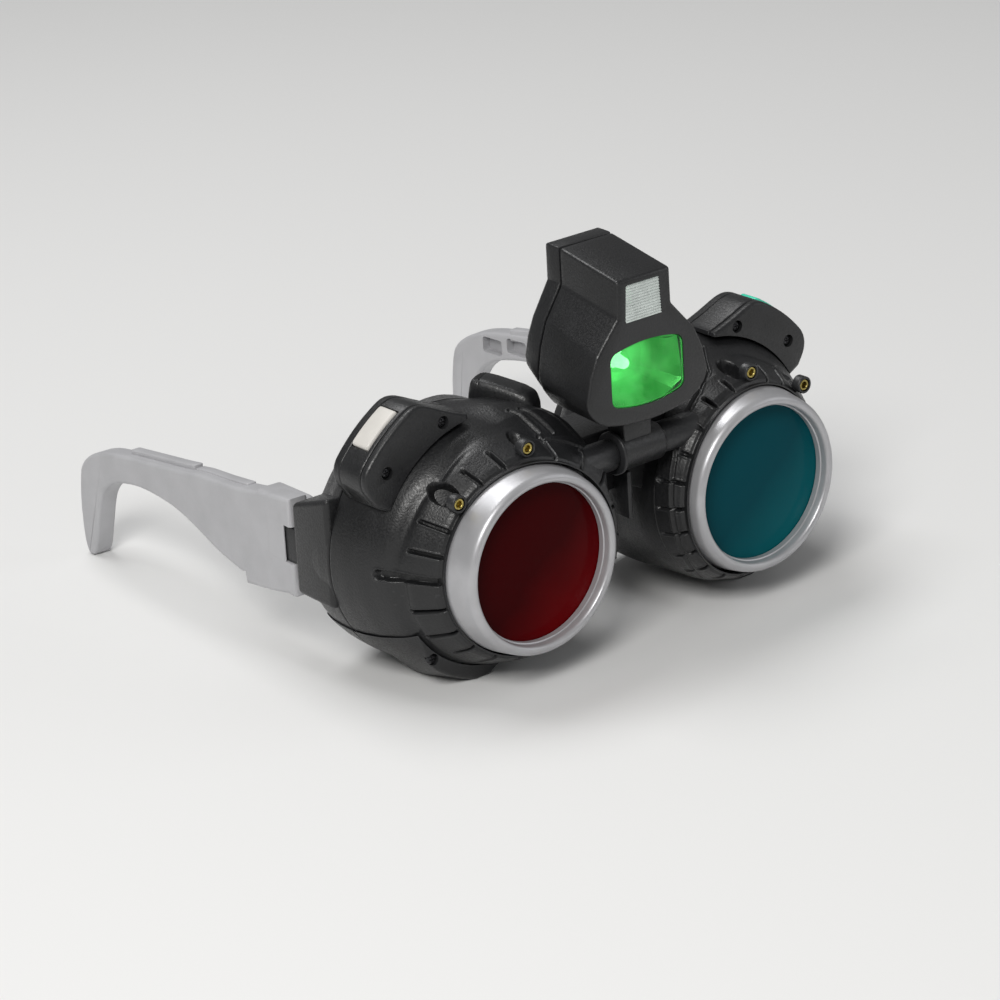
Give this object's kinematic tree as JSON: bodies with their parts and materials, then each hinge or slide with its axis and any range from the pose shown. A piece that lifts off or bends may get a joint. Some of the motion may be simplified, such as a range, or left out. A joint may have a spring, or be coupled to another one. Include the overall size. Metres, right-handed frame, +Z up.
{
  "type": "night vision goggles",
  "caption": "Night vision goggles with tinted lens pods, silver bezels, folding side arms, push buttons and a tilting lamp over the nose",
  "frame": {"origin": "middle of the bounding box, in the plane of the table it stands on", "axes": "X across with the wearer's left at +X, Y from the lenses back to the ear hooks, Z up"},
  "size_m": [0.1656, 0.1812, 0.1139],
  "materials": {
    "body_black": "fine grained satin charcoal black",
    "cover_black": "fine grained satin charcoal black",
    "bezel_silver": "satin silver coating on plastic",
    "lens_red": "glossy, tinted deep red",
    "lens_teal": "glossy, tinted deep teal",
    "inner_black": "dead matte",
    "soft_black": "soft matte",
    "arm_grey": "satin light grey",
    "button_white": "satin off-white",
    "button_teal": "translucent teal",
    "eyelet_brass": "dull gold",
    "steel": "plated",
    "clear_window": "frosted, ribbed",
    "green_window": "clear, tinted green",
    "reflector_chrome": "vacuum coated",
    "board_green": "solder resist",
    "led_clear": "clear resin",
    "switch_black": "moulded"
  },
  "bodies": {
    "pods": {"bridge_rod": "steel", "left_battery_door": "cover_black", "left_bezel": "bezel_silver", "left_brow_cover": "body_black", "left_cell_1": "steel", "left_cell_2": "steel", "left_cell_spring": "steel", "left_cover_plate": "cover_black", "left_cover_screw_1": "steel", "left_cover_screw_2": "steel", "left_door_screw": "steel", "left_eyecup": "soft_black", "left_front_shell": "body_black", "left_hinge_pin": "steel", "left_lens": "lens_teal", "left_lens_led": "led_clear", "left_lens_tube": "inner_black", "left_outer_eyelet": "eyelet_brass", "left_pod_housing": "body_black", "left_rear_shell": "body_black", "left_switch": "switch_black", "left_upper_eyelet": "eyelet_brass", "nose_bridge": "body_black", "right_battery_door": "cover_black", "right_bezel": "bezel_silver", "right_brow_cover": "body_black", "right_cell_1": "steel", "right_cell_2": "steel", "right_cell_spring": "steel", "right_cover_plate": "cover_black", "right_cover_screw_1": "steel", "right_cover_screw_2": "steel", "right_door_screw": "steel", "right_eyecup": "soft_black", "right_front_shell": "body_black", "right_hinge_pin": "steel", "right_lens": "lens_red", "right_lens_led": "led_clear", "right_lens_tube": "inner_black", "right_outer_eyelet": "eyelet_brass", "right_pod_housing": "body_black", "right_rear_shell": "body_black", "right_switch": "switch_black", "right_upper_eyelet": "eyelet_brass"},
    "right_side_arm": {"right_arm": "arm_grey"},
    "left_side_arm": {"left_arm": "arm_grey"},
    "right_push_button": {"right_button": "button_white"},
    "left_push_button": {"left_button": "button_teal"},
    "lamp": {"lamp_barrel": "body_black", "lamp_board": "board_green", "lamp_front_shell": "body_black", "lamp_main_led": "led_clear", "lamp_main_window": "green_window", "lamp_rear_shell": "body_black", "lamp_reflector": "reflector_chrome", "lamp_top_led": "led_clear", "lamp_top_window": "clear_window"}
  },
  "joints": [
    {"name": "right_arm_fold", "type": "hinge", "parent": "pods", "child": "right_side_arm", "pos_m": [-0.0762, -0.02254, 0.0365], "axis": [0, 0, -1], "range_deg": [0, 86]},
    {"name": "left_arm_fold", "type": "hinge", "parent": "pods", "child": "left_side_arm", "pos_m": [0.0762, -0.02254, 0.0365], "axis": [0, 0, 1], "range_deg": [0, 75]},
    {"name": "right_button_press", "type": "slide", "parent": "pods", "child": "right_push_button", "axis": [0.6157, 0, -0.788], "range_m": [0, 0.001], "stiffness_N_per_m": 300, "springref_m": -0.001},
    {"name": "left_button_press", "type": "slide", "parent": "pods", "child": "left_push_button", "axis": [-0.6157, 0, -0.788], "range_m": [0, 0.001], "stiffness_N_per_m": 300, "springref_m": -0.001},
    {"name": "lamp_tilt", "type": "hinge", "parent": "pods", "child": "lamp", "pos_m": [0, -0.07974, 0.0565], "axis": [1, 0, 0], "range_deg": [0, 30]}
  ]
}
